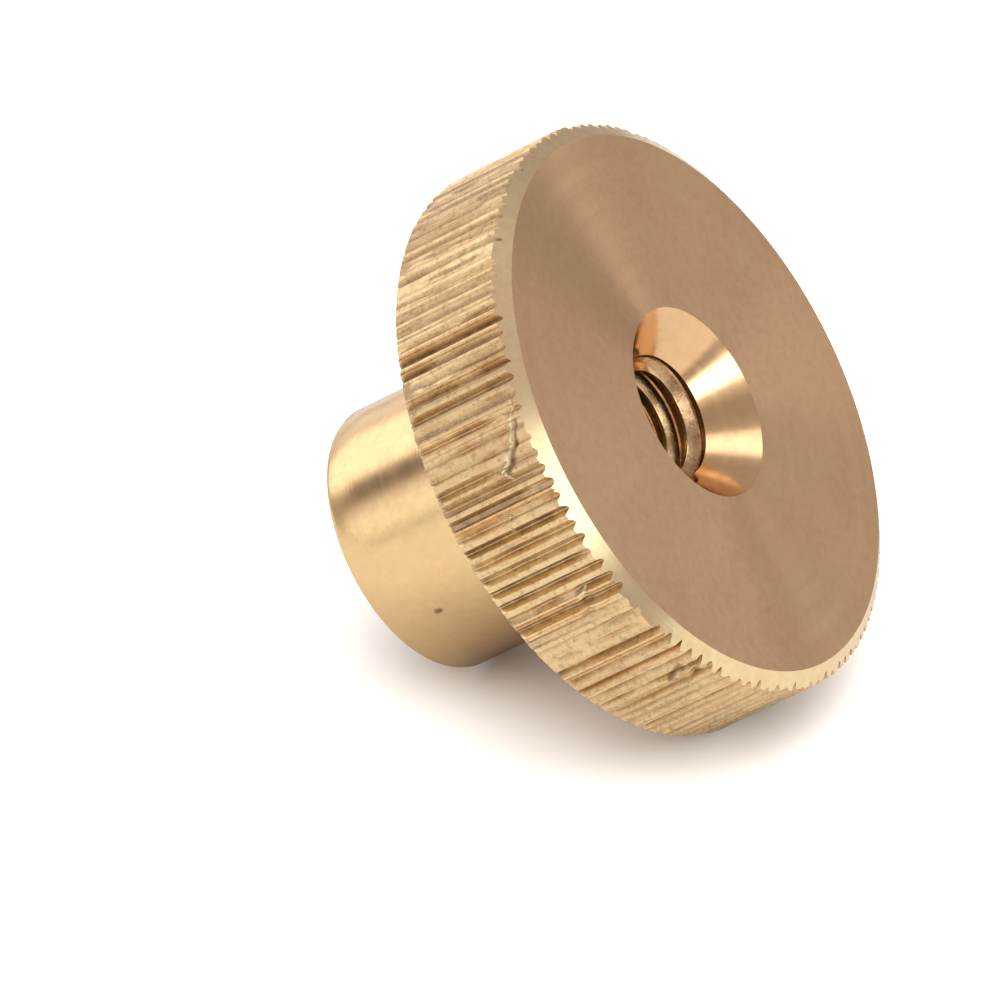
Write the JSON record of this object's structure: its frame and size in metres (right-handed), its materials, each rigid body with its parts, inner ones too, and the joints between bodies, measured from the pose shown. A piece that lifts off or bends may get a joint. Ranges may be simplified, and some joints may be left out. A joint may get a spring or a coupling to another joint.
{
  "type": "knurled thumb nut",
  "caption": "Brass knurled thumb nut: a straight-knurled round head on a smooth cylindrical boss, with a countersunk threaded through hole, turned by the fingers to clamp.",
  "frame": {"origin": "centre of the boss's end face, which is the face that clamps the work", "axes": "+Z along the thread axis, from the boss's end towards the knurled head; +X and +Y are any two radial directions at right angles"},
  "size_m": [0.019, 0.019, 0.0115],
  "materials": {
    "brass": "turned brass: satin head face, bright boss and countersink, rolled straight knurl"
  },
  "bodies": {
    "root": {"thumb_nut_body": "brass"}
  },
  "joints": []
}
